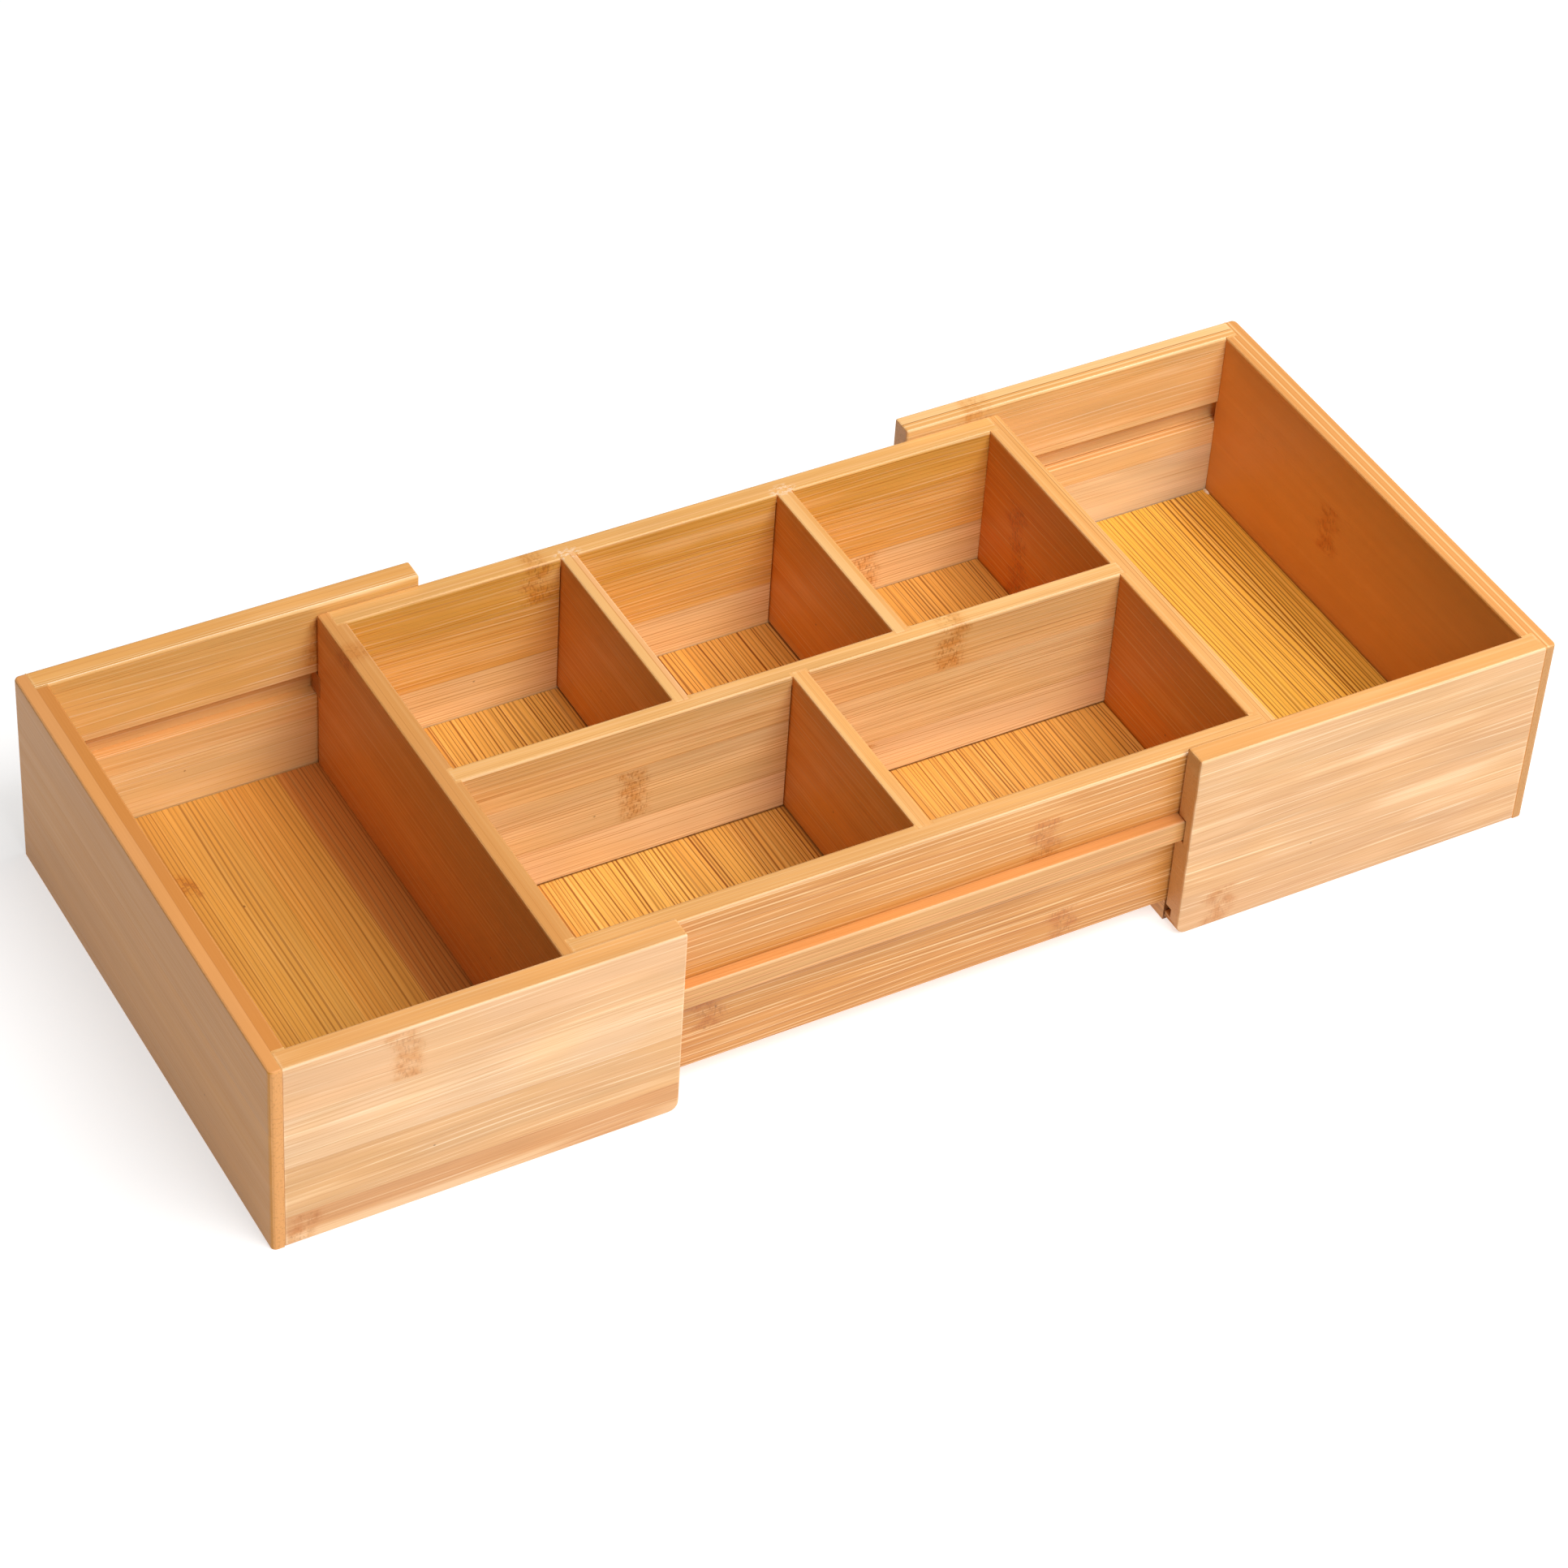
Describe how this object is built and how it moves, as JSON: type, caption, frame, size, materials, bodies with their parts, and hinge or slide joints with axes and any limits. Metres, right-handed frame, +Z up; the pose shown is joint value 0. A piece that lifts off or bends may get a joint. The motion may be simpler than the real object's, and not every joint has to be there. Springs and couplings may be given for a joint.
{
  "type": "drawer organizer insert",
  "caption": "Rectangular open tray insert for a drawer, divided into compartments, with a sliding tray at each end that widens it along its length.",
  "frame": {"origin": "middle of the underside's outline, with both sliding trays opened out as stored", "axes": "+X along the length towards the right tray, +Y from the front to the back, +Z up"},
  "size_m": [0.398, 0.17, 0.065],
  "materials": {
    "bamboo_pale": "satin sealed bamboo, pale straw",
    "bamboo_golden": "satin sealed bamboo, golden tan",
    "bamboo_end": "satin sealed bamboo, laminated in two layers",
    "bamboo_floor": "satin sealed bamboo, amber with fine dark streaks",
    "bamboo_rail": "satin sealed bamboo, orange"
  },
  "bodies": {
    "center_tray": {"center_front_wall": "bamboo_golden", "center_back_wall": "bamboo_golden", "center_left_wall": "bamboo_golden", "center_right_wall": "bamboo_golden", "long_divider": "bamboo_golden", "back_divider_left": "bamboo_golden", "back_divider_right": "bamboo_golden", "front_divider": "bamboo_golden", "center_base": "bamboo_floor", "front_guide_rail": "bamboo_rail", "back_guide_rail": "bamboo_rail"},
    "left_tray": {"left_end_wall": "bamboo_end", "left_front_wall": "bamboo_pale", "left_back_wall": "bamboo_pale", "left_base": "bamboo_floor"},
    "right_tray": {"right_end_wall": "bamboo_end", "right_front_wall": "bamboo_pale", "right_back_wall": "bamboo_pale", "right_base": "bamboo_floor"}
  },
  "joints": [
    {"name": "left_slide", "type": "slide", "parent": "center_tray", "child": "left_tray", "axis": [-1, 0, 0], "range_m": [-0.0792, 0.01]},
    {"name": "right_slide", "type": "slide", "parent": "center_tray", "child": "right_tray", "axis": [1, 0, 0], "range_m": [-0.0792, 0.01]}
  ]
}
